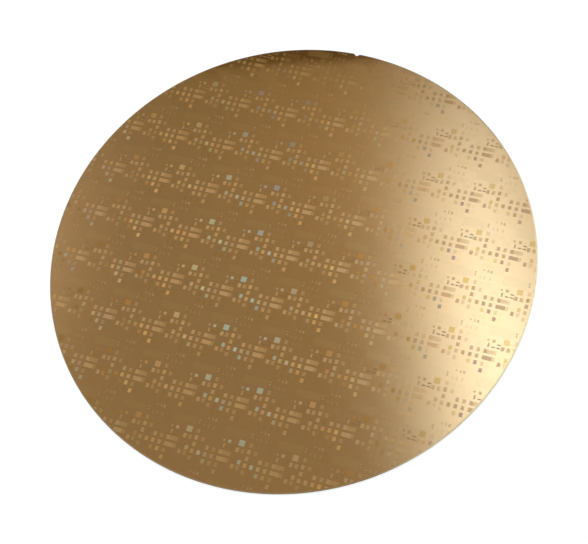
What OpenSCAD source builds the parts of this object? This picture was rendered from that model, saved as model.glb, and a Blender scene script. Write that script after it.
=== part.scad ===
// A 200 mm silicon wafer with a repeated pattern of test blocks, lying on its back face.
// Millimetres. The origin is the centre of the back face. +Z points out of the patterned face,
// X runs along the rows of fields and +Y points to the notch.

/* [Disc] */
// Diameter of the wafer
wafer_d = 200; // [150:1:300]
// Thickness of the silicon
wafer_t = 0.725; // [0.65:0.005:0.9]
// Angle between the edge bevel and the face
bevel_angle = 22; // [15:1:30]
// How deep the edge bevel runs below each face before the round tip starts
bevel_drop = 0.145; // [0.1:0.005:0.2]

/* [Notch] */
// Depth of the orientation notch below the rim
notch_depth = 1.05; // [1:0.05:1.25]
// Full angle between the notch's flanks
notch_angle = 90; // [80:1:100]
// Radius of the notch's bottom
notch_r = 0.9; // [0.6:0.05:1]
// Width of the chamfer round the notch, on both faces
notch_chamfer = 0.15; // [0.05:0.01:0.2]

/* [Fields] */
// Width of one exposure field, along X
field_w = 21.6; // [20.6:0.05:25]
// Height of one exposure field, along Y
field_h = 21.75; // [19:0.05:25]
// Distance of the wafer's centre from the left edge of the central field
centre_x = 11.6; // [0:0.05:21.6]
// Distance of the wafer's centre from the bottom edge of the central field
centre_y = 11.05; // [0:0.025:21.75]
// Bare ring between the edge bevel and the pattern
bare_ring = 0.1; // [0:0.05:5]

/* [Blocks] */
// Height of the pattern above the face
film_t = 0.02; // [0.01:0.005:0.05]
// Width of a block
block_w = 1.36; // [0.8:0.02:1.8]
// Height of a block, along Y
block_h = 1.72; // [0.8:0.02:2]
// Spacing of the block columns
column_pitch = 2.7; // [2.5:0.01:2.75]
// Spacing of the block rows
row_pitch = 2.72; // [2.5:0.01:2.75]
// Length of the two long bars
bar_l = 5; // [3:0.05:5.2]
// Side of the large square
square_w = 2.35; // [1:0.05:2.6]

/* [Hidden] */
$fn = 180;

wafer_r = wafer_d / 2;
overcut = 1;

// The rim's round tip is tangent to both bevels, so it turns through the angle between them.
tip_r = (wafer_t / 2 - bevel_drop) / cos(bevel_angle);
tip_centre = [wafer_r - tip_r, wafer_t / 2];
tip_turn = 90 - bevel_angle;
tip_steps = 4;
// Radii of the flat face, where the bevel starts, and of the pattern on it.
face_r = tip_centre.x + tip_r * sin(bevel_angle) - bevel_drop / tan(bevel_angle);
film_r = face_r - bare_ring;

// The notch's bottom circle lies with its lowest point at the notch's full depth, and the
// flanks leave it along its tangents.
notch_y = wafer_r - notch_depth + notch_r;
flank = notch_angle / 2;
flank_l = 3 * notch_depth;
flank_start = notch_r * [cos(flank), -sin(flank)];
flank_end = flank_start + flank_l * [sin(flank), cos(flank)];
// The chamfer's cutter runs this far past the surfaces that it cuts.
chamfer_run = 0.1;
// Half the notch's width at the rim, and its lowest point, both with the chamfer.
notch_half_w = flank_start.x + notch_depth * tan(flank) + notch_chamfer;
notch_low = wafer_r - notch_depth - notch_chamfer;

// The field's first block, and the cells [column, row] that hold one.
first_block = [1.65, 3.22];
block_cells = [[0, 3], [1, 2], [2, 2], [2, 3], [3, 1], [3, 2], [4, 0]];
// The field's second group has its own first block and pitch.
second_block = [18.6, 7.16];
second_pitch = [2.18, 2.19];
second_cells = [[0, 0], [1, 1]];
// The long bars start in line with the fifth column.
bar_x = first_block.x + 4 * column_pitch - block_w / 2;
bar_rows = [2, 3];
square_at = [19.55, 16.7];

// Every shape of one field as [centre, size], from the field's lower left corner.
field_shapes = concat(
    [for (c = block_cells)
        [first_block + [c.x * column_pitch, c.y * row_pitch], [block_w, block_h]]],
    [for (c = second_cells)
        [second_block + [c.x * second_pitch.x, c.y * second_pitch.y], [block_w, block_h]]],
    [for (r = bar_rows)
        [[bar_x + bar_l / 2, first_block.y + r * row_pitch], [bar_l, block_h]]],
    [[square_at, [square_w, square_w]]]
);
columns = ceil(wafer_r / field_w) + 1;
rows = ceil(wafer_r / field_h) + 1;
// A shape that reaches less than this into the film's round edge is left out as a sliver.
least_reach = 0.3;

// Distance from the wafer's centre to the nearest and the farthest point of a shape.
function nearest(at, size) =
    norm([max(abs(at.x) - size.x / 2, 0), max(abs(at.y) - size.y / 2, 0)]);
function farthest(at, size) = norm([abs(at.x) + size.x / 2, abs(at.y) + size.y / 2]);

// Whether a shape stays clear of the notch.
function clear_of_notch(at, size) =
    abs(at.x) - size.x / 2 > notch_half_w || at.y + size.y / 2 < notch_low;

// Points along an arc, from one angle to another in equal steps.
function arc(centre, r, from, to, steps) = [
    for (i = [0 : steps])
        let (turn = from + (to - from) * i / steps)
            centre + r * [cos(turn), sin(turn)]
];

// Half of the disc's section: flat faces, two bevels and a round tip.
module disc_section() {
    polygon([
        [0, 0], [face_r, 0],
        each arc(tip_centre, tip_r, -tip_turn, tip_turn, tip_steps),
        [face_r, wafer_t], [0, wafer_t]
    ]);
}

// The notch seen from above: two straight flanks that run tangent into a round bottom.
module notch_outline() {
    circle(r = notch_r);
    polygon([
        flank_start, flank_end,
        [-flank_end.x, flank_end.y], [-flank_start.x, flank_start.y]
    ]);
}

// Section of the chamfer cutter. Its long side is the chamfer, run out past both surfaces.
module chamfer_section() {
    translate([notch_r, 0])
        polygon([
            [notch_chamfer + chamfer_run, chamfer_run],
            [-chamfer_run, chamfer_run],
            [-chamfer_run, -notch_chamfer - chamfer_run]
        ]);
}

// Chamfer round the notch at the upper face, round the bottom and along both flanks.
module notch_chamfer_cut() {
    rotate(180 + flank)
        rotate_extrude(angle = 180 - notch_angle)
            chamfer_section();
    for (side = [0, 1])
        mirror([side, 0, 0])
            rotate(-flank)
                translate([0, flank_l, 0])
                    rotate([90, 0, 0])
                        linear_extrude(flank_l)
                            chamfer_section();
}

module silicon_disc() {
    color("dimgray")
        difference() {
            rotate_extrude()
                disc_section();
            translate([0, notch_y, 0]) {
                translate([0, 0, -overcut])
                    linear_extrude(wafer_t + 2 * overcut)
                        notch_outline();
                translate([0, 0, wafer_t])
                    notch_chamfer_cut();
                mirror([0, 0, 1])
                    notch_chamfer_cut();
            }
        }
}

// One raised shape of the pattern, whole.
module block(at, size) {
    translate([at.x - size.x / 2, at.y - size.y / 2, 0])
        cube([size.x, size.y, film_t]);
}

// One shape as it is on the wafer, cut where it crosses the film's round edge.
module film_shape(at, size) {
    if (farthest(at, size) <= film_r)
        block(at, size);
    else if (nearest(at, size) < film_r - least_reach)
        intersection() {
            block(at, size);
            cylinder(h = film_t, r = film_r);
        }
}

module film_pattern() {
    color("burlywood")
        translate([0, 0, wafer_t])
            for (i = [-columns : columns], j = [-rows : rows], s = field_shapes) {
                at = [i * field_w - centre_x, j * field_h - centre_y] + s[0];
                if (clear_of_notch(at, s[1]))
                    film_shape(at, s[1]);
            }
}

silicon_disc();
film_pattern();
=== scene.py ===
"""Looks of a 200 mm silicon wafer with a repeated pattern of test blocks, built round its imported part.

Sizes in the classes are millimetres, in the part's own frame, and turn to metres where a mesh is made.
"""
import logging
import math
from dataclasses import dataclass, field
from enum import Enum
from typing import Any

import bpy
import numpy as np
from mathutils import Matrix, Vector


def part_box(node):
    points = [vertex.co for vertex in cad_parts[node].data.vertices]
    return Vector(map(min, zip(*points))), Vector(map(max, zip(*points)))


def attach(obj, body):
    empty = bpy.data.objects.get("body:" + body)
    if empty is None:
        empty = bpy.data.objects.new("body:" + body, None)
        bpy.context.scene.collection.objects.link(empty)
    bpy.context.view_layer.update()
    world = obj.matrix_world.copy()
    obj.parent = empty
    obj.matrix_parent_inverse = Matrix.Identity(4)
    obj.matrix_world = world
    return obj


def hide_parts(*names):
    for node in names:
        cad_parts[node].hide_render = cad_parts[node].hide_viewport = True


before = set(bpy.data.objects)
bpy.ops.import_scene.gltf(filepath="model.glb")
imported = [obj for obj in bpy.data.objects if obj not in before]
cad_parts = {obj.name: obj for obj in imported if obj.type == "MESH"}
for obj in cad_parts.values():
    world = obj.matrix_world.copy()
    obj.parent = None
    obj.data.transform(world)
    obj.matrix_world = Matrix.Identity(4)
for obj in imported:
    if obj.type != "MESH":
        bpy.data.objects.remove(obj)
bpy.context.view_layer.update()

MM = 0.001
# Width of the bare ring between the edge bevel and the pattern, in millimetres.
BARE_RING = 0.1
# Nearly all of a noise texture's values lie between these.
NOISE_LOW, NOISE_HIGH = 0.3, 0.7
log = logging.getLogger("wafer")


# ---- Colour and node helpers ----

def linear(colour: str) -> np.ndarray:
    """Turn an sRGB hex colour into linear light.

    Args:
        colour: A colour such as "#7D5500".

    Returns:
        Its red, green and blue in linear light, from 0 to 1.
    """
    srgb = np.array([int(colour[i:i + 2], 16) for i in (1, 3, 5)]) / 255
    return np.where(srgb <= 0.04045, srgb / 12.92, ((srgb + 0.055) / 1.055) ** 2.4)


def rgba(colour: str) -> tuple[float, ...]:
    """Return an sRGB hex colour as the four linear values of a colour socket."""
    return (*linear(colour).tolist(), 1.0)


def add_node(tree: bpy.types.NodeTree, kind: str, inputs: dict[str | int, Any] | None = None,
             **settings: Any) -> bpy.types.Node:
    """Add one node with its settings, values and links.

    Args:
        tree: The node tree to add it to.
        kind: The node's type, such as "ShaderNodeMath".
        inputs: For each input, by name or number, its value or the socket that feeds it.
        **settings: The node's own properties, such as operation="ADD".

    Returns:
        The new node.
    """
    node = tree.nodes.new(kind)
    for name, value in settings.items():
        setattr(node, name, value)
    for key, value in (inputs or {}).items():
        if isinstance(value, bpy.types.NodeSocket):
            tree.links.new(value, node.inputs[key])
        else:
            node.inputs[key].default_value = value
    return node


def new_material(name: str) -> tuple[bpy.types.Material, bpy.types.NodeTree]:
    """Return a new material with an empty node tree, and that tree."""
    material = bpy.data.materials.new(name)
    material.use_nodes = True
    material.node_tree.nodes.clear()
    return material, material.node_tree


# ---- Finishes ----

@dataclass(frozen=True)
class FilmOnSilicon:
    """Mirror-polished silicon under a clear deposited film.

    To the eye it is a brown-gold mirror: the silicon's reflection is tinted by the film, and the
    film's own smooth top adds a weaker, colourless one. The tint drifts a little with the thickness.
    """

    name: str = "film_on_polished_silicon"
    tint: str = "#7F5600"
    metal: float = 0.5
    roughness: float = 0.03
    clear_film: float = 0.75
    drift_size: float = 40.0
    drift: float = 0.05
    grain_size: float = 0.9
    grain: float = 0.05

    def material(self) -> bpy.types.Material:
        """Return the material: a tinted metal under a coat, with a slow and a fine drift in its tint."""
        material, tree = new_material(self.name)
        place = add_node(tree, "ShaderNodeTexCoord").outputs["Object"]
        slow = add_node(tree, "ShaderNodeTexNoise", {"Vector": place, "Scale": 1 / (self.drift_size * MM),
                                                     "Detail": 1.0})
        fine = add_node(tree, "ShaderNodeTexNoise", {"Vector": place, "Scale": 1 / (self.grain_size * MM),
                                                     "Detail": 2.0})
        drifted = add_node(tree, "ShaderNodeMapRange", {
            "Value": slow.outputs["Fac"], "From Min": NOISE_LOW, "From Max": NOISE_HIGH,
            "To Min": 1 - self.drift / 2, "To Max": 1 + self.drift / 2})
        grained = add_node(tree, "ShaderNodeMapRange", {
            "Value": fine.outputs["Fac"], "From Min": NOISE_LOW, "From Max": NOISE_HIGH,
            "To Min": 1 - self.grain / 2, "To Max": 1 + self.grain / 2})
        level = add_node(tree, "ShaderNodeMath", {0: drifted.outputs[0], 1: grained.outputs[0]},
                         operation="MULTIPLY")
        tint = add_node(tree, "ShaderNodeVectorMath", {0: linear(self.tint), "Scale": level.outputs[0]},
                        operation="SCALE")
        shader = add_node(tree, "ShaderNodeBsdfPrincipled", {
            "Base Color": tint.outputs[0], "Metallic": self.metal, "Roughness": self.roughness,
            "Coat Weight": self.clear_film, "Coat Roughness": self.roughness})
        add_node(tree, "ShaderNodeOutputMaterial", {"Surface": shader.outputs[0]})
        return material


@dataclass(frozen=True)
class FilmOnBevel:
    """The film where it runs over the ground and etched edge bevel.

    To the eye the satin rim goes on with the face's colours: brown-gold round most of it, a painted
    highlight of pale gold towards +X where the lamps reach it, and painted shade of dark brown next
    to the far edge. Both are fixed on the rim.
    """

    name: str = "film_on_etched_bevel"
    tint: str = "#8C6E42"
    # Painted highlight: towards +X the rim's tint turns to this pale gold.
    painted_highlight_tint: str = "#F8E0A8"
    metal: float = 0.3
    roughness: float = 0.35
    highlight_from: float = 60.0
    highlight_to: float = 100.0
    # Painted shade: round this place near the far edge the tint is darkened by a bell curve.
    painted_shade_at: tuple[float, float] = (-18.0, 97.0)
    painted_shade_spread: float = 28.0
    dark: float = 0.65

    def material(self) -> bpy.types.Material:
        """Return the material: a tint painted paler along X as a highlight, darkened round one place by a
        bell curve of painted shade.
        """
        material, tree = new_material(self.name)
        place = add_node(tree, "ShaderNodeTexCoord").outputs["Object"]
        across = add_node(tree, "ShaderNodeSeparateXYZ", {0: place}).outputs["X"]
        highlight = add_node(tree, "ShaderNodeMapRange", {
            "Value": across, "From Min": self.highlight_from * MM, "From Max": self.highlight_to * MM})
        tint = add_node(tree, "ShaderNodeMix", {
            "Factor": highlight.outputs[0], 6: rgba(self.tint), 7: rgba(self.painted_highlight_tint)}, data_type="RGBA")
        away = add_node(tree, "ShaderNodeVectorMath", {
            0: place, 1: (self.painted_shade_at[0] * MM, self.painted_shade_at[1] * MM, 0)}, operation="DISTANCE")
        scaled = add_node(tree, "ShaderNodeMath", {
            0: away.outputs["Value"], 1: 1 / (self.painted_shade_spread * MM)}, operation="MULTIPLY")
        squared = add_node(tree, "ShaderNodeMath", {0: scaled.outputs[0], 1: 2.0}, operation="POWER")
        bell = add_node(tree, "ShaderNodeMath", {0: math.exp(-0.5), 1: squared.outputs[0]},
                        operation="POWER")
        level = add_node(tree, "ShaderNodeMath", {0: bell.outputs[0], 1: -self.dark, 2: 1.0},
                         operation="MULTIPLY_ADD")
        shaded = add_node(tree, "ShaderNodeVectorMath", {0: tint.outputs[2], "Scale": level.outputs[0]},
                          operation="SCALE")
        shader = add_node(tree, "ShaderNodeBsdfPrincipled", {
            "Base Color": shaded.outputs[0], "Metallic": self.metal, "Roughness": self.roughness})
        add_node(tree, "ShaderNodeOutputMaterial", {"Surface": shader.outputs[0]})
        return material


@dataclass(frozen=True)
class EtchedSilicon:
    """Bare silicon, ground and acid-etched.

    To the eye it is a satin blue-grey metal with a fine, uneven grain.
    """

    name: str = "etched_silicon"
    tint: str = "#8E9094"
    roughness: float = 0.42
    grain_size: float = 0.25
    grain: float = 0.12

    def material(self) -> bpy.types.Material:
        """Return the material: a satin metal whose tint and roughness vary with the etch pits.

        The pits are really about 0.02 mm wide, and are drawn coarser so that they show.
        """
        material, tree = new_material(self.name)
        place = add_node(tree, "ShaderNodeTexCoord").outputs["Object"]
        pits = add_node(tree, "ShaderNodeTexNoise", {"Vector": place, "Scale": 1 / (self.grain_size * MM),
                                                     "Detail": 3.0})
        level = add_node(tree, "ShaderNodeMapRange", {
            "Value": pits.outputs["Fac"], "From Min": NOISE_LOW, "From Max": NOISE_HIGH,
            "To Min": 1 - self.grain, "To Max": 1 + self.grain})
        tint = add_node(tree, "ShaderNodeVectorMath", {0: linear(self.tint), "Scale": level.outputs[0]},
                        operation="SCALE")
        rough = add_node(tree, "ShaderNodeMath", {0: level.outputs[0], 1: self.roughness},
                         operation="MULTIPLY")
        shader = add_node(tree, "ShaderNodeBsdfPrincipled", {
            "Base Color": tint.outputs[0], "Metallic": 1.0, "Roughness": rough.outputs[0]})
        add_node(tree, "ShaderNodeOutputMaterial", {"Surface": shader.outputs[0]})
        return material


@dataclass(frozen=True)
class EtchedGrating:
    """Film etched into fine gratings, block by block.

    To the eye a block is paler and duller than the bare film, because its lines scatter light, and
    some blocks split it into faint rainbow colours. That scattered light and rainbow are painted
    into each block's colour, fixed on the wafer. Each block's colour, share of metal and share of
    clear film on top are attributes of the mesh.
    """

    name: str = "etched_film_gratings"
    colour_attribute: str = "grating_colour_and_painted_light"
    metal_attribute: str = "grating_metal"
    film_attribute: str = "clear_film"
    film_ior: float = 1.6
    roughness: float = 0.1
    specular: float = 0.075
    line_spacing: float = 0.17
    line_depth: float = 0.05

    def material(self) -> bpy.types.Material:
        """Return the material: the block's own colour, crossed by fine lines.

        The lines are really under 0.002 mm apart, and are drawn coarser so that they show close up.
        """
        material, tree = new_material(self.name)
        colour = add_node(tree, "ShaderNodeAttribute", attribute_name=self.colour_attribute)
        metal = add_node(tree, "ShaderNodeAttribute", attribute_name=self.metal_attribute)
        place = add_node(tree, "ShaderNodeTexCoord").outputs["Object"]
        across = add_node(tree, "ShaderNodeSeparateXYZ", {0: place}).outputs["X"]
        turn = add_node(tree, "ShaderNodeMath", {0: across, 1: math.tau / (self.line_spacing * MM)},
                        operation="MULTIPLY")
        wave = add_node(tree, "ShaderNodeMath", {0: turn.outputs[0]}, operation="SINE")
        level = add_node(tree, "ShaderNodeMath", {0: wave.outputs[0], 1: self.line_depth, 2: 1.0},
                         operation="MULTIPLY_ADD")
        lined = add_node(tree, "ShaderNodeVectorMath", {
            0: colour.outputs["Color"], "Scale": level.outputs[0]}, operation="SCALE")
        film = add_node(tree, "ShaderNodeAttribute", attribute_name=self.film_attribute)
        shader = add_node(tree, "ShaderNodeBsdfPrincipled", {
            "Base Color": lined.outputs[0], "Metallic": metal.outputs["Fac"],
            "Coat Weight": film.outputs["Fac"], "Coat Roughness": self.roughness,
            "Coat IOR": self.film_ior, "Roughness": self.roughness,
            "Specular IOR Level": self.specular})
        add_node(tree, "ShaderNodeOutputMaterial", {"Surface": shader.outputs[0]})
        return material


# ---- Meshes ----

def make_piece(name: str, points: np.ndarray, faces: list[np.ndarray], finishes: list[bpy.types.Material],
               finish_of: np.ndarray | None = None, crease: float | None = None) -> bpy.types.Object:
    """Make a mesh object at the origin from whole arrays.

    Args:
        name: The piece's name.
        points: Its points in millimetres, one row each.
        faces: Arrays of faces, a row of point numbers for each face. A row has the same length all
            through an array.
        finishes: Its materials.
        finish_of: For each face, the number of its material.
        crease: The angle in degrees above which an edge stays sharp. Without it, every face is flat.

    Returns:
        The new object, linked to the scene.
    """
    corners = np.concatenate([f.ravel() for f in faces])
    sides = np.concatenate([np.full(len(f), f.shape[1]) for f in faces])
    mesh = bpy.data.meshes.new(name)
    mesh.vertices.add(len(points))
    mesh.vertices.foreach_set("co", (points * MM).astype(np.float32).ravel())
    mesh.loops.add(len(corners))
    mesh.loops.foreach_set("vertex_index", corners.astype(np.int32))
    mesh.polygons.add(len(sides))
    mesh.polygons.foreach_set("loop_start", (np.cumsum(sides) - sides).astype(np.int32))
    for finish in finishes:
        mesh.materials.append(finish)
    if finish_of is not None:
        mesh.polygons.foreach_set("material_index", finish_of.astype(np.int32))
    mesh.update(calc_edges=True)
    mesh.validate()
    if crease is None:
        mesh.shade_flat()
    else:
        mesh.shade_smooth()
        mesh.set_sharp_from_angle(angle=math.radians(crease))
    piece = bpy.data.objects.new(name, mesh)
    bpy.context.scene.collection.objects.link(piece)
    return piece


class Face(Enum):
    """The disc's three finishes, by the number of their material."""

    FILM = 0
    BEVEL = 1
    BACK = 2


@dataclass
class WaferDisc:
    """The silicon disc: flat faces, bevelled and rounded rim, and the orientation notch at +Y."""

    diameter: float
    thickness: float
    bevel_angle: float = 22.0
    bevel_drop: float = 0.145
    notch_depth: float = 1.05
    notch_angle: float = 90.0
    notch_radius: float = 0.9
    notch_chamfer: float = 0.15
    tip_steps: int = 12
    rim_steps: int = 1440
    notch_half_width: float = 1.3
    notch_steps: int = 200
    rings: tuple[float, ...] = (0.97, 0.75, 0.5, 0.25)
    crease: float = 15.0

    @property
    def radius(self) -> float:
        """Return the disc's outer radius."""
        return self.diameter / 2

    @property
    def face_radius(self) -> float:
        """Return the radius of the flat face, where the bevel starts."""
        return self.radius - self.profile()[1][-1]

    def profile(self) -> tuple[np.ndarray, np.ndarray]:
        """Work out the rim's profile, from the back face to the front face.

        It is a straight bevel up from the back face, an arc that is tangent to both bevels and
        touches the full radius halfway up, and a straight bevel in to the front face.

        Returns:
            The heights, and at each height how far the rim lies inside the full radius.
        """
        bevel = math.radians(self.bevel_angle)
        middle = self.thickness / 2
        tip = (middle - self.bevel_drop) / math.cos(bevel)
        turn = np.linspace(bevel - math.pi / 2, math.pi / 2 - bevel, self.tip_steps + 1)
        run = self.bevel_drop / math.tan(bevel)
        heights = np.concatenate([[0.0], middle + tip * np.sin(turn), [self.thickness]])
        inset = np.concatenate([[0.0], tip * (1 - np.cos(turn)), [0.0]])
        inset[[0, -1]] = inset[[1, -2]] + run
        return heights, inset

    def bearings(self) -> np.ndarray:
        """Return the angles from +Y, towards +X, of the rim's points: closer together at the notch."""
        edge = math.radians(self.notch_half_width)
        notch = np.linspace(-edge, edge, self.notch_steps, endpoint=False)
        rest = np.linspace(edge, math.tau - edge, self.rim_steps, endpoint=False)
        return np.concatenate([notch, rest])

    def reach(self, bearing: np.ndarray, inset: np.ndarray, widening: np.ndarray) -> np.ndarray:
        """Work out how far the disc reaches from its centre at each bearing.

        It is the smaller of the round rim and the notch. The notch's bottom is the near side of a
        circle on the +Y axis, and each flank is a line that leaves that circle along its tangent.

        Args:
            bearing: Angles from +Y.
            inset: How far the rim lies inside the full radius.
            widening: How far the notch's wall is set back by its chamfer.

        Returns:
            The distances, for every pair of a bearing and a height.
        """
        off = np.abs((bearing + math.pi) % math.tau - math.pi)[:, None]
        flank = math.radians(self.notch_angle) / 2
        centre = self.radius - self.notch_depth + self.notch_radius
        bottom = self.notch_radius + widening[None, :]
        joint = np.arctan2(bottom * math.cos(flank), centre - bottom * math.sin(flank))
        near = np.minimum(off, joint)
        circle = centre * np.cos(near) - np.sqrt(bottom ** 2 - (centre * np.sin(near)) ** 2)
        line = (centre * math.sin(flank) - bottom) / np.sin(flank - np.minimum(off, flank / 2))
        notch = np.where(off < joint, circle, line)
        return np.minimum(self.radius - inset[None, :], notch)

    def build(self, finishes: dict[Face, bpy.types.Material]) -> bpy.types.Object:
        """Build the disc as one closed mesh.

        The rim is a grid of bearing by height, at the distance that reach() gives. Each flat face is
        that grid's first or last row, drawn in towards the centre in rings and closed by a fan.

        Args:
            finishes: The material of each kind of face.

        Returns:
            The disc.
        """
        heights, inset = self.profile()
        widening = np.maximum(0, self.notch_chamfer - np.minimum(heights, self.thickness - heights))
        bearing = self.bearings()
        reach = self.reach(bearing, inset, widening)
        around = np.stack([np.sin(bearing), np.cos(bearing)], -1)
        across, levels = len(bearing), len(heights)
        rim = np.concatenate([reach[..., None] * around[:, None, :],
                              np.broadcast_to(heights[None, :, None], (across, levels, 1))], -1)
        shrink = np.array(self.rings)[None, :, None]
        low = rim[:, :1] * np.array([1, 1, 0]) * shrink
        high = rim[:, -1:] * np.array([1, 1, 0]) * shrink + np.array([0, 0, self.thickness])
        grid = np.concatenate([low[:, ::-1], rim, high], 1)
        columns = grid.shape[1]
        points = np.concatenate([grid.reshape(-1, 3), [[0, 0, 0], [0, 0, self.thickness]]])
        here = np.arange(across)[:, None] * columns + np.arange(columns - 1)[None, :]
        after = (here + columns) % (across * columns)
        quads = np.stack([here, here + 1, after + 1, after], -1).reshape(-1, 4)
        first = np.arange(across) * columns
        following = (first + columns) % (across * columns)
        last = columns - 1
        back_fan = np.stack([np.full(across, len(points) - 2), first, following], -1)
        front_fan = np.stack([np.full(across, len(points) - 1), following + last, first + last], -1)
        band = np.arange(columns - 1) - len(self.rings)
        kind = np.full(columns - 1, Face.BEVEL.value)
        kind[band < levels // 2] = Face.BACK.value
        kind[band >= levels - 1] = Face.FILM.value
        finish_of = np.concatenate([np.tile(kind, across), np.full(across, Face.BACK.value),
                                    np.full(across, Face.FILM.value)])
        return make_piece("wafer_disc", points, [quads, back_fan, front_fan],
                          [finishes[f] for f in Face], finish_of, self.crease)


# ---- The pattern ----

# Each colour channel's share of a wavelength is a bell curve: where it peaks and how wide it is, in
# nanometres, and how high it is, for red, green and blue. These values and those of the orders were
# found by a least-squares fit to the wafer's measured colours, and rounded.
CHANNEL_PEAKS = np.array([609.0, 570.0, 516.0])
CHANNEL_WIDTHS = np.array([47.0, 60.0, 51.0])
CHANNEL_GAINS = np.array([1.35, 0.82, 0.6])


@dataclass(frozen=True)
class Order:
    """One order of a grating's rainbow: the wavelength that it sends to the eye, across the wafer.

    The rainbow is a painted reflection of the lamps' light, fixed in the block's colour. The
    wavelength is centre nanometres at the wafer's middle, and grows by along_x and along_y for each
    millimetre, because the angles between lamp, block and eye change in step with the place.
    """

    centre: float
    along_x: float
    along_y: float
    strength: float

    def light(self, x: np.ndarray, y: np.ndarray) -> np.ndarray:
        """Work out the rainbow's light: a bell curve of the local wavelength for each channel.

        Args:
            x: Places along X, in millimetres.
            y: The same places along Y.

        Returns:
            The linear colour at each place.
        """
        wavelength = (self.centre + self.along_x * x + self.along_y * y)[:, None]
        bell = np.exp(-0.5 * ((wavelength - CHANNEL_PEAKS) / CHANNEL_WIDTHS) ** 2)
        return self.strength * CHANNEL_GAINS * bell


# Painted reflection: each set of orders bakes a rainbow into the blocks' colours.
OPAL_ORDERS = (Order(472, -2.55, -0.9, 0.15), Order(546, 2.8, 0.3, 0.08), Order(641, 2.45, 1.35, 0.054))
CORAL_ORDERS = (Order(648, -2.2, -0.8, 0.135), Order(830, 3.7, 1.0, 0.2), Order(937, -3.55, -1.0, 0.18))
EMBER_ORDERS = (Order(746, 2.3, 0.43, 0.2), Order(576, 2.7, 0.7, 0.13))
AMBER_ORDERS = (Order(656, -4.15, -1.4, 0.13), Order(545, 2.6, 0.3, 0.087), Order(799, 3.7, 0.75, 0.15))
TAWNY_ORDERS = (Order(200, -3.5, -1.8, 0.07), Order(426, 3.2, 1.2, 0.067))
ROSE_ORDERS = (Order(638, 1.5, 0.2, 0.09), Order(460, 1.7, 0.5, 0.1))
MAUVE_ORDERS = (Order(574, -2.4, -0.5, 0.08), Order(584, 1.05, -0.25, 0.057))
FAWN_ORDERS = (Order(250, -4.1, 0.0, 0.09), Order(407, 2.9, 0.05, 0.06))


@dataclass(frozen=True)
class Look:
    """How a kind of block looks beside the bare film.

    paleness is 0 for the bare film's colour and 1 for plain pale tan. mirror is its mirror reflection
    as a share of the bare film's. orders are its rainbow's, and rainbow is their strength. haze is
    the colourless light that it adds or, below zero, takes away.
    """

    paleness: float
    mirror: float
    orders: tuple[Order, ...] = ()
    rainbow: float = 1.0
    haze: float = 0.0


class Tone(Enum):
    """The kinds of block. Their values started from the same fit and were then adjusted."""

    TAN = Look(1.14, 0.255, TAWNY_ORDERS, haze=-0.005)
    BUFF = Look(1.05, 0.29, TAWNY_ORDERS, haze=-0.005)
    CLAY = Look(1.09, 0.335, TAWNY_ORDERS, 0.1, haze=0.004)
    ROSE = Look(0.72, 0.27, ROSE_ORDERS, haze=-0.009)
    MAUVE = Look(0.26, 0.57, MAUVE_ORDERS, haze=0.002)
    FAWN = Look(0.65, 0.465, FAWN_ORDERS, haze=-0.007)
    SAND = Look(0.7, 0.6)
    PALE = Look(0.53, 0.7)
    STROKE = Look(0.8, 0.3, haze=0.003)
    DAB = Look(0.45, 0.48, haze=0.011)
    DOT = Look(0.5, 0.3, haze=0.012)
    TRACE = Look(0.24, 0.63, haze=0.01)
    FAINT = Look(0.1, 0.82, haze=0.007)
    VEIL = Look(0.08, 0.9, haze=0.006)
    GHOST = Look(0.02, 0.98)
    SHADE = Look(-0.05, 1.03, haze=-0.005)
    DUSK = Look(-0.05, 1.035)
    LINES = Look(-0.35, 0.18, haze=0.004)
    STREET = Look(0.0, 1.01)
    BAND = Look(0.05, 0.985)
    BIG_OPAL = Look(-0.54, 0.79, OPAL_ORDERS, 1.65, haze=-0.006)
    OPAL = Look(-0.48, 0.74, OPAL_ORDERS, 1.5, haze=-0.005)
    SMALL_OPAL = Look(-0.33, 0.54, OPAL_ORDERS, 1.5, haze=-0.001)
    BRIGHT_OPAL = Look(-0.14, 0.47, OPAL_ORDERS, 1.7, haze=-0.011)
    HALF_OPAL = Look(-0.4, 0.8, OPAL_ORDERS, 1.2, haze=-0.004)
    DIM_OPAL = Look(-0.18, 0.5, OPAL_ORDERS, 0.8, haze=0.002)
    CORAL = Look(0.46, 0.08, CORAL_ORDERS, haze=0.009)
    EMBER = Look(0.46, 0.32, EMBER_ORDERS, haze=0.002)
    AMBER = Look(0.49, 0.42, AMBER_ORDERS, haze=-0.001)


@dataclass(frozen=True)
class Block:
    """One flat shape of the pattern, by its centre and size in the field."""

    at: tuple[float, float]
    size: tuple[float, float]
    tone: Tone


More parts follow.
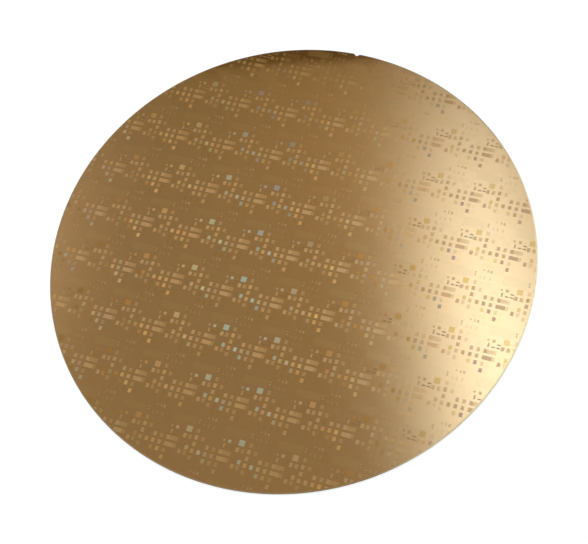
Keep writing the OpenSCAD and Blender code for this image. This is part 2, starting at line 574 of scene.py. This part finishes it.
@dataclass
class FieldLayout:
    """The blocks of one exposure field, from its lower left corner.

    The main group is a grid of blocks with shaded gaps and bare streets between them. The bars
    follow it in two of its rows, and the second group has a closer grid of its own.
    """

    columns: int = 5
    rows: int = 6
    first: tuple[float, float] = (1.65, 3.22)
    pitch: tuple[float, float] = (2.7, 2.72)
    block: tuple[float, float] = (1.36, 1.72)
    second_first: tuple[float, float] = (18.6, 7.16)
    second_pitch: tuple[float, float] = (2.18, 2.19)
    bar_start: float = 11.77
    shade_x: float = 14.4
    street_width: float = 0.8

    def main_group(self) -> list[Block]:
        """Return the blocks of the main group, by column and row from the lower left."""
        tones = {
            Tone.BUFF: [(0, 3)],
            Tone.CLAY: [(2, 3)],
            Tone.ROSE: [(0, 4)],
            Tone.FAWN: [(3, 3)],
            Tone.MAUVE: [(0, 2)],
            Tone.PALE: [(0, 1), (0, 5), (1, 4), (4, 1)],
            Tone.GHOST: [(3, 4), (1, 5), (2, 5)],
            Tone.SHADE: [(1, 0), (1, 1), (2, 0), (3, 0)],
            Tone.BRIGHT_OPAL: [(1, 2)],
            Tone.HALF_OPAL: [(2, 1)],
            Tone.EMBER: [(2, 2)],
            Tone.AMBER: [(3, 2)],
            Tone.CORAL: [(3, 1), (4, 0)],
        }
        cells = [(cell, tone) for tone, cells in tones.items() for cell in cells]
        blocks = [Block(self.cell(*cell), self.block, tone) for cell, tone in cells]
        shaded = [Block((self.shade_x, self.cell(0, row)[1]), self.block, Tone.SHADE) for row in (0, 1)]
        return blocks + shaded

    def cell(self, column: int, row: int) -> tuple[float, float]:
        """Return the centre of a cell of the main group."""
        return self.first[0] + column * self.pitch[0], self.first[1] + row * self.pitch[1]

    def bars(self) -> list[Block]:
        """Return the two long bars, each of stretches that butt together."""
        rows = {3: [(1.4, Tone.TAN), (2.25, Tone.SAND), (1.35, Tone.PALE)],
                2: [(3.75, Tone.TAN), (1.25, Tone.PALE)]}
        blocks = []
        for row, stretches in rows.items():
            x = self.bar_start
            for length, tone in stretches:
                centre = (x + length / 2, self.cell(0, row)[1])
                blocks.append(Block(centre, (length, self.block[1]), tone))
                x += length
        return blocks

    def second_group(self) -> list[Block]:
        """Return the blocks of the second group, by column and row from the lower left."""
        tones = {(0, 0): Tone.BUFF, (0, 1): Tone.SHADE, (0, 3): Tone.CLAY,
                 (1, 0): Tone.PALE, (1, 1): Tone.OPAL, (1, 3): Tone.FAWN}
        return [Block((self.second_first[0] + c * self.second_pitch[0],
                       self.second_first[1] + r * self.second_pitch[1]), self.block, tone)
                for (c, r), tone in tones.items()]

    def marks(self) -> list[Block]:
        """Return the square targets, the thin bars and the small marks along the field's edges."""
        return [
            Block((19.55, 16.7), (2.35, 2.35), Tone.BIG_OPAL),
            Block((14.72, 16.15), (1.18, 1.18), Tone.SMALL_OPAL),
            Block((12.53, 16.18), (0.8, 0.8), Tone.DIM_OPAL),
            Block((16.85, 16.15), (0.6, 0.6), Tone.VEIL),
            Block((13.03, 14.05), (0.75, 1.7), Tone.STROKE),
            Block((14.98, 13.6), (1.45, 0.46), Tone.LINES),
            Block((16.93, 13.6), (1.45, 0.46), Tone.LINES),
            Block((16.93, 14.95), (1.45, 0.46), Tone.LINES),
            Block((0.875, 20.0), (0.62, 0.55), Tone.DOT),
            Block((0.875, 21.1), (0.62, 0.55), Tone.DOT),
            Block((3.9, 1.0), (0.7, 0.8), Tone.TRACE),
            Block((5.55, 0.85), (0.8, 1.1), Tone.TRACE),
            Block((6.9, 0.85), (0.9, 1.1), Tone.DAB),
            Block((3.1, 19.5), (0.8, 1.2), Tone.VEIL),
            Block((4.8, 19.5), (0.8, 1.3), Tone.FAINT),
            Block((6.95, 19.5), (0.8, 1.4), Tone.FAINT),
        ]

    def streets(self) -> list[Block]:
        """Return the bare streets between the columns, and the bands above and below the bars."""
        low = self.first[1] - self.block[1]
        high = self.cell(0, self.rows - 1)[1] + self.block[1] / 2
        middle = self.first[0] + self.pitch[0] / 2
        size = (self.street_width, high - low)
        streets = [Block((middle + k * self.pitch[0], (low + high) / 2), size, Tone.STREET)
                   for k in range(self.columns - 1)]
        bands = [Block((16.75, 20.15), (9.7, 3.2), Tone.BAND),
                 Block((13.3, 0.85), (10.2, 1.25), Tone.DUSK)]
        return streets + bands

    def blocks(self) -> list[Block]:
        """Return every block of a field."""
        return self.main_group() + self.bars() + self.second_group() + self.marks() + self.streets()


@dataclass
class BlockPattern:
    """The field's blocks, repeated over the face and cut at the film's round edge.

    The sizes come first: how far the blocks reach, how they keep clear of the notch, the field's
    size and the wafer's centre in it, how deep a block is sunk into the face so that no two
    surfaces coincide, the least that a cut block reaches in, and the columns of a cut block.

    The optics follow. film and pale are the colours that a tone lies between. film_mirror is the
    bare film's whole mirror reflection and top_mirror the colourless part of it, of which
    etched_top is left where the film is etched away. bare_mirror and coat_mirror are what the
    shader's own surface and its full coat reflect. The light that gratings scatter is painted into
    the blocks' colours, fixed on the wafer: most at brightest, less by scatter_spread away from
    it, and none past shadow_edge, a painted shadow.
    """

    film_radius: float
    face_height: float
    height: float
    notch_half_width: float = 1.6
    notch_low: float = 98.8
    field_size: tuple[float, float] = (21.6, 21.75)
    centre: tuple[float, float] = (11.6, 11.05)
    sunk: float = 0.002
    least_reach: float = 0.3
    cut_columns: int = 9
    film: str = "#8C6B3F"
    pale: str = "#B18959"
    film_mirror: float = 0.097
    top_mirror: float = 0.05
    etched_top: float = 0.29
    top_margin: float = 0.004
    bare_mirror: float = 0.006
    coat_mirror: float = 0.0533
    # Painted light and shadow, baked into the blocks' colours: the hill's peak and spread, and the step
    # down near the far edge.
    brightest: tuple[float, float] = (10.0, -11.0)
    scatter_spread: tuple[float, float] = (104.0, 68.0)
    shadow_edge: float = 86.0
    shadow_softness: float = 2.2
    layout: FieldLayout = field(default_factory=FieldLayout)

    def placed(self) -> tuple[np.ndarray, np.ndarray, np.ndarray]:
        """Work out where every block lies on the wafer.

        Returns:
            The blocks' centres, their sizes, and for each the number of its entry in the layout.
        """
        blocks = self.layout.blocks()
        local = np.array([b.at for b in blocks])
        size = np.array([b.size for b in blocks])
        reach = [math.ceil(self.film_radius / s) + 1 for s in self.field_size]
        counts = [np.arange(-r, r + 1) for r in reach]
        steps = np.stack(np.meshgrid(*counts, indexing="ij"), -1).reshape(-1, 1, 2)
        at = (steps * np.array(self.field_size) - np.array(self.centre) + local).reshape(-1, 2)
        size = np.tile(size, (len(steps), 1))
        entry = np.tile(np.arange(len(blocks)), len(steps))
        nearest = np.linalg.norm(np.maximum(np.abs(at) - size / 2, 0), axis=1)
        clear = (np.abs(at[:, 0]) - size[:, 0] / 2 > self.notch_half_width) | (
            at[:, 1] + size[:, 1] / 2 < self.notch_low)
        keep = clear & (nearest < self.film_radius - self.least_reach)
        return at[keep], size[keep], entry[keep]

    def slabs(self, at: np.ndarray, size: np.ndarray, columns: int) -> tuple[np.ndarray, np.ndarray]:
        """Work out one thin slab for each block, cut by the film's round edge.

        A slab is a row of columns along X. Each column runs from the block's lower to its upper
        side, but no further than the circle allows at that X, and X itself stops where the circle
        crosses the side that is nearer to the wafer's middle.

        Args:
            at: The blocks' centres.
            size: Their sizes.
            columns: How many columns each slab has.

        Returns:
            The points, as blocks by columns by (lower, upper) by (bottom, top) by XYZ, and the faces.
        """
        low, high = at - size / 2, at + size / 2
        near = np.where(low[:, 1] * high[:, 1] < 0, 0, np.minimum(np.abs(low[:, 1]), np.abs(high[:, 1])))
        limit = np.sqrt(np.maximum(self.film_radius ** 2 - near ** 2, 0))
        start, stop = np.clip([low[:, 0], high[:, 0]], -limit, limit)
        x = start[:, None] + (stop - start)[:, None] * np.linspace(0, 1, columns)
        arc = np.sqrt(np.maximum(self.film_radius ** 2 - x ** 2, 0))
        y = np.stack([np.clip(low[:, 1:], -arc, arc), np.clip(high[:, 1:], -arc, arc)], -1)
        points = np.empty((len(at), columns, 2, 2, 3))
        points[..., 0] = x[:, :, None, None]
        points[..., 1] = y[..., None]
        points[..., 2] = self.face_height + np.array([-self.sunk, self.height])
        i = np.arange(columns - 1) * 4
        end = (columns - 1) * 4
        faces = np.concatenate([
            np.stack([i + 1, i + 5, i + 7, i + 3], -1),
            np.stack([i, i + 2, i + 6, i + 4], -1),
            np.stack([i, i + 4, i + 5, i + 1], -1),
            np.stack([i + 6, i + 2, i + 3, i + 7], -1),
            [[2, 0, 1, 3], [end, end + 2, end + 3, end + 1]],
        ])
        faces = faces[None] + (np.arange(len(at)) * columns * 4)[:, None, None]
        return points, faces.reshape(-1, 4)

    def scatter(self, at: np.ndarray) -> np.ndarray:
        """Work out how strongly gratings scatter light to the eye at each place.

        It is painted light and shadow, fixed on the wafer: a bell-shaped hill over the face, wider
        along X, times a soft step down to nothing near the far edge, a painted shadow where the lamp
        no longer reaches.
        """
        away = (at - np.array(self.brightest)) / np.array(self.scatter_spread)
        step = 1 / (1 + np.exp((at[:, 1] - self.shadow_edge) / self.shadow_softness))
        return np.exp(-0.5 * (away ** 2).sum(axis=1)) * step

    def looks(self, at: np.ndarray, entry: np.ndarray) -> tuple[np.ndarray, np.ndarray, np.ndarray]:
        """Work out each block's colour, share of metal and share of clear film on top.

        The colour lies between the film's and the pale tan by the tone's paleness, plus its painted
        rainbow, both as strong as the painted scatter light there, plus its haze. The colourless
        reflection of the film's top falls with the fourth power of the tone's mirror share, down to what
        etching leaves, and stays near the colour's blue at most. Metal makes up the rest of the mirror.

        Args:
            at: The blocks' centres.
            entry: For each, the number of its entry in the layout.

        Returns:
            The linear colours, the shares of metal and the shares of clear film.
        """
        tones = [b.tone.value for b in self.layout.blocks()]
        paleness = np.array([t.paleness for t in tones])[entry, None]
        haze = np.array([t.haze for t in tones])[entry, None]
        mirror = np.array([t.mirror for t in tones])[entry]
        glow = paleness * (linear(self.pale) - linear(self.film))
        for number, look in enumerate(tones):
            mine = entry == number
            for order in look.orders:
                glow[mine] += look.rainbow * order.light(at[mine, 0], at[mine, 1])
        colour = linear(self.film) + self.scatter(at)[:, None] * glow + haze
        left = self.etched_top + (1 - self.etched_top) * np.minimum(mirror, 1) ** 4
        top = np.minimum(self.top_mirror * left, colour[:, 2] + self.top_margin)
        metal = np.clip((mirror * self.film_mirror - top) / (colour[:, 1] - top), 0, 1)
        film = np.clip((top - self.bare_mirror * (1 - metal)) / self.coat_mirror, 0, 1)
        return np.clip(colour - top[:, None], 0, 1), metal, film

    def build(self, finish: EtchedGrating) -> bpy.types.Object:
        """Build all the blocks as one mesh of thin closed slabs.

        Args:
            finish: The gratings' finish, which names the mesh's attributes.

        Returns:
            The pattern.
        """
        at, size, entry = self.placed()
        colour, metal, film = self.looks(at, entry)
        cut = np.linalg.norm(np.abs(at) + size / 2, axis=1) > self.film_radius
        points, faces, tint, shine, top, count = [], [], [], [], [], 0
        for chosen, columns in ((~cut, 2), (cut, self.cut_columns)):
            slab, quads = self.slabs(at[chosen], size[chosen], columns)
            points.append(slab.reshape(-1, 3))
            faces.append(quads + count)
            tint.append(np.repeat(colour[chosen], columns * 4, 0))
            shine.append(np.repeat(metal[chosen], columns * 4))
            top.append(np.repeat(film[chosen], columns * 4))
            count += len(points[-1])
        pattern = make_piece(
            "test_blocks", np.concatenate(points), [np.concatenate(faces)], [finish.material()])
        colours = pattern.data.attributes.new(finish.colour_attribute, "FLOAT_COLOR", "POINT")
        tint = np.concatenate(tint)
        tint = np.column_stack([tint, np.ones(len(tint))])
        colours.data.foreach_set("color", tint.astype(np.float32).ravel())
        for name, share in ((finish.metal_attribute, shine), (finish.film_attribute, top)):
            shares = pattern.data.attributes.new(name, "FLOAT", "POINT")
            shares.data.foreach_set("value", np.concatenate(share).astype(np.float32))
        log.info("test_blocks: %d blocks, %d of them cut at the edge", len(at), int(cut.sum()))
        return pattern


# ---- The studio ----

def stage_plane(name: str, width: float, depth: float, middle: tuple[float, float, float], turn: float,
                material: bpy.types.Material) -> bpy.types.Object:
    """Add a flat rectangle to the stage.

    Args:
        name: Its name.
        width: Its size along its own X.
        depth: Its size along its own Y.
        middle: Where its middle lies.
        turn: How far it is turned about the vertical, in degrees.
        material: Its material.

    Returns:
        The rectangle, marked as stage.
    """
    corners = np.array([[-1, -1, 0], [1, -1, 0], [1, 1, 0], [-1, 1, 0]]) * np.array([width, depth, 0]) / 2
    plane = make_piece(name, corners, [np.array([[0, 1, 2, 3]])], [material])
    plane.location = Vector(middle) * MM
    plane.rotation_euler.z = math.radians(turn)
    return plane


@dataclass
class SoftLamp:
    """A softbox above the wafer whose brightness falls off from its middle as a bell curve.

    It is strength times e to the power of minus half the square of the distance from its middle,
    with X and Y measured in units of spread. It ends at reach of those units, where it is nearly 0.
    """

    name: str
    middle: tuple[float, float, float]
    turn: float
    spread: tuple[float, float]
    strength: float
    colour: str
    reach: float = 3.2

    def build(self) -> bpy.types.Object:
        """Build the lamp as a rectangle that adds its light to what lies behind it."""
        material, tree = new_material(self.name)
        place = add_node(tree, "ShaderNodeTexCoord").outputs["Object"]
        scaled = add_node(tree, "ShaderNodeVectorMath", {
            0: place, 1: (1 / (self.spread[0] * MM), 1 / (self.spread[1] * MM), 0)}, operation="MULTIPLY")
        square = add_node(tree, "ShaderNodeVectorMath", {0: scaled.outputs[0], 1: scaled.outputs[0]},
                          operation="DOT_PRODUCT")
        half = add_node(tree, "ShaderNodeMath", {0: square.outputs["Value"], 1: -0.5},
                        operation="MULTIPLY")
        bell = add_node(tree, "ShaderNodeMath", {0: half.outputs[0]}, operation="EXPONENT")
        power = add_node(tree, "ShaderNodeMath", {0: bell.outputs[0], 1: self.strength},
                         operation="MULTIPLY")
        light = add_node(tree, "ShaderNodeEmission", {
            "Color": rgba(self.colour), "Strength": power.outputs[0]})
        through = add_node(tree, "ShaderNodeBsdfTransparent")
        both = add_node(tree, "ShaderNodeAddShader", {0: light.outputs[0], 1: through.outputs[0]})
        add_node(tree, "ShaderNodeOutputMaterial", {"Surface": both.outputs[0]})
        lamp = stage_plane(self.name, 2 * self.reach * self.spread[0], 2 * self.reach * self.spread[1],
                           self.middle, self.turn, material)
        lamp.visible_camera = False
        return lamp


@dataclass
class Flag:
    """A card above the wafer that puts its own dark colour in the reflection, with a soft near edge."""

    name: str
    edge: tuple[float, float, float]
    turn: float
    size: tuple[float, float]
    density: float
    softness: float
    colour: str = "#000000"

    def build(self) -> bpy.types.Object:
        """Build the card: its density grows from nothing at its near edge over its softness."""
        material, tree = new_material(self.name)
        place = add_node(tree, "ShaderNodeTexCoord").outputs["Object"]
        along = add_node(tree, "ShaderNodeSeparateXYZ", {0: place}).outputs["Y"]
        start = -self.size[1] / 2 * MM
        share = add_node(tree, "ShaderNodeMapRange", {
            "Value": along, "From Min": start, "From Max": start + self.softness * MM,
            "To Min": 0.0, "To Max": self.density}, interpolation_type="SMOOTHSTEP")
        through = add_node(tree, "ShaderNodeBsdfTransparent")
        dark = add_node(tree, "ShaderNodeEmission", {"Color": rgba(self.colour)})
        mixed = add_node(tree, "ShaderNodeMixShader", {
            0: share.outputs[0], 1: through.outputs[0], 2: dark.outputs[0]})
        add_node(tree, "ShaderNodeOutputMaterial", {"Surface": mixed.outputs[0]})
        back = Vector((0, self.size[1] / 2, 0))
        back.rotate(Matrix.Rotation(math.radians(self.turn), 3, "Z"))
        middle = tuple(Vector(self.edge) + back)
        card = stage_plane(self.name, *self.size, middle, self.turn, material)
        card.visible_camera = False
        card.visible_diffuse = False
        return card


@dataclass
class Studio:
    """The pale floor, the white surroundings, the lamps and the cards.

    What a mirror or the camera sees has its own strength, so that a white floor and surroundings
    stay white while they light the wafer plainly.
    """

    floor_size: float = 8000.0
    floor_gap: float = 0.01
    floor_colour: str = "#E8E8E8"
    floor_glow: float = 0.27
    seen_light: float = 1.0
    given_light: float = 0.735
    lamp_height: float = 1000.0

    def seen(self, tree: bpy.types.NodeTree) -> bpy.types.NodeSocket:
        """Return a socket that is 1 for what the camera, mirrors and glass see, and else 0."""
        path = add_node(tree, "ShaderNodeLightPath")
        mirror = add_node(tree, "ShaderNodeMath", {
            0: path.outputs["Is Glossy Ray"], 1: path.outputs["Is Transmission Ray"]},
            operation="MAXIMUM")
        return add_node(tree, "ShaderNodeMath", {
            0: path.outputs["Is Camera Ray"], 1: mirror.outputs[0]}, operation="MAXIMUM").outputs[0]

    def build_world(self) -> None:
        """Surround the stage with even white light, at full strength where it is seen."""
        world = bpy.data.worlds.new("white_surroundings")
        world.use_nodes = True
        tree = world.node_tree
        tree.nodes.clear()
        strength = add_node(tree, "ShaderNodeMapRange", {
            "Value": self.seen(tree), "To Min": self.given_light, "To Max": self.seen_light})
        sky = add_node(tree, "ShaderNodeBackground", {
            "Color": rgba("#FFFFFF"), "Strength": strength.outputs[0]})
        add_node(tree, "ShaderNodeOutputWorld", {"Surface": sky.outputs[0]})
        bpy.context.scene.world = world

    def build_floor(self) -> None:
        """Lay a pale matt floor just under the back face. It keeps the wafer's shadow."""
        material, tree = new_material("pale_floor")
        matt = add_node(tree, "ShaderNodeBsdfDiffuse", {"Color": rgba(self.floor_colour)})
        lift = add_node(tree, "ShaderNodeMath", {0: self.seen(tree), 1: self.floor_glow},
                        operation="MULTIPLY")
        glow = add_node(tree, "ShaderNodeEmission", {
            "Color": rgba("#FFFFFF"), "Strength": lift.outputs[0]})
        both = add_node(tree, "ShaderNodeAddShader", {0: matt.outputs[0], 1: glow.outputs[0]})
        add_node(tree, "ShaderNodeOutputMaterial", {"Surface": both.outputs[0]})
        stage_plane("floor", self.floor_size, self.floor_size, (0, 0, -self.floor_gap), 0, material)

    def build(self) -> None:
        """Build the whole studio, each lamp and card at a height of its own so that none coincide."""
        self.build_world()
        self.build_floor()
        height = self.lamp_height
        lamps = [
            SoftLamp("key_softbox", (38, 342, height), 20.6, (72, 268), 11, "#C3E1F9"),
            SoftLamp("warm_softbox", (-150, 567, height + 5), 41, (130, 400), 0.41, "#FFD35C"),
            SoftLamp("fill_softbox", (-698, -100, height + 10), 0, (80, 415), 2.5, "#FFFFFF"),
        ]
        cards = [
            Flag("grey_net", (-330, 371, height - 20), 32.4, (3000, 1600), 0.6, 665),
            Flag("deep_blue_card", (-750, 600, height - 10), 16, (1500, 2600), 1.0, 23, "#00008E"),
        ]
        for fitting in (*lamps, *cards):
            fitting.build()
        log.info("studio: floor, surroundings, %d softboxes, %d cards", len(lamps), len(cards))


@dataclass(frozen=True)
class Viewpoint:
    """The camera, by the point that it looks at and its direction from there."""

    target: tuple[float, float, float]
    distance: float = 467.6
    azimuth: float = 33.45
    elevation: float = 63.84
    roll: float = 17.31
    lens: float = 70.78
    sensor: float = 36.0

    def build(self) -> None:
        """Make the camera and give it to the scene.

        Its axes are those of a level camera at the azimuth and elevation, rolled about the line of
        sight.
        """
        a, e, r = (math.radians(v) for v in (self.azimuth, self.elevation, self.roll))
        back = Vector((math.sin(a) * math.cos(e), -math.cos(a) * math.cos(e), math.sin(e)))
        level = Vector((math.cos(a), math.sin(a), 0))
        up = back.cross(level)
        axes = Matrix((math.cos(r) * level - math.sin(r) * up,
                       math.sin(r) * level + math.cos(r) * up, back)).transposed()
        data = bpy.data.cameras.new("camera")
        data.lens, data.sensor_width = self.lens, self.sensor
        data.clip_start, data.clip_end = 0.01, 50.0
        camera = bpy.data.objects.new("camera", data)
        eye = Vector(self.target) + back * self.distance
        camera.matrix_world = Matrix.Translation(eye * MM) @ axes.to_4x4()
        bpy.context.scene.collection.objects.link(camera)
        bpy.context.scene.camera = camera


def main() -> None:
    """Build the wafer's pieces in order, then the studio and the camera."""
    logging.basicConfig(level=logging.INFO, format="%(name)s %(message)s")
    bpy.context.scene.view_settings.view_transform = "Standard"

    low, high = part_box("silicon_disc")
    film_low, film_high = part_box("film_pattern")
    disc = WaferDisc(diameter=round((high.x - low.x) / MM, 3), thickness=round(high.z / MM, 4))
    body = disc.build({
        Face.FILM: FilmOnSilicon().material(),
        Face.BEVEL: FilmOnBevel().material(),
        Face.BACK: EtchedSilicon().material(),
    })
    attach(body, "root")
    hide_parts("silicon_disc")
    log.info("wafer_disc: %.1f mm across, face radius %.2f mm, %d faces",
             disc.diameter, disc.face_radius, len(body.data.polygons))

    pattern = BlockPattern(film_radius=disc.face_radius - BARE_RING, face_height=disc.thickness,
                           height=round((film_high.z - film_low.z) / MM, 3))
    blocks = pattern.build(EtchedGrating())
    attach(blocks, "root")
    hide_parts("film_pattern")

    Studio().build()
    Viewpoint(target=(5.3, -7.9, disc.thickness)).build()


if __name__ == "__main__":
    main()
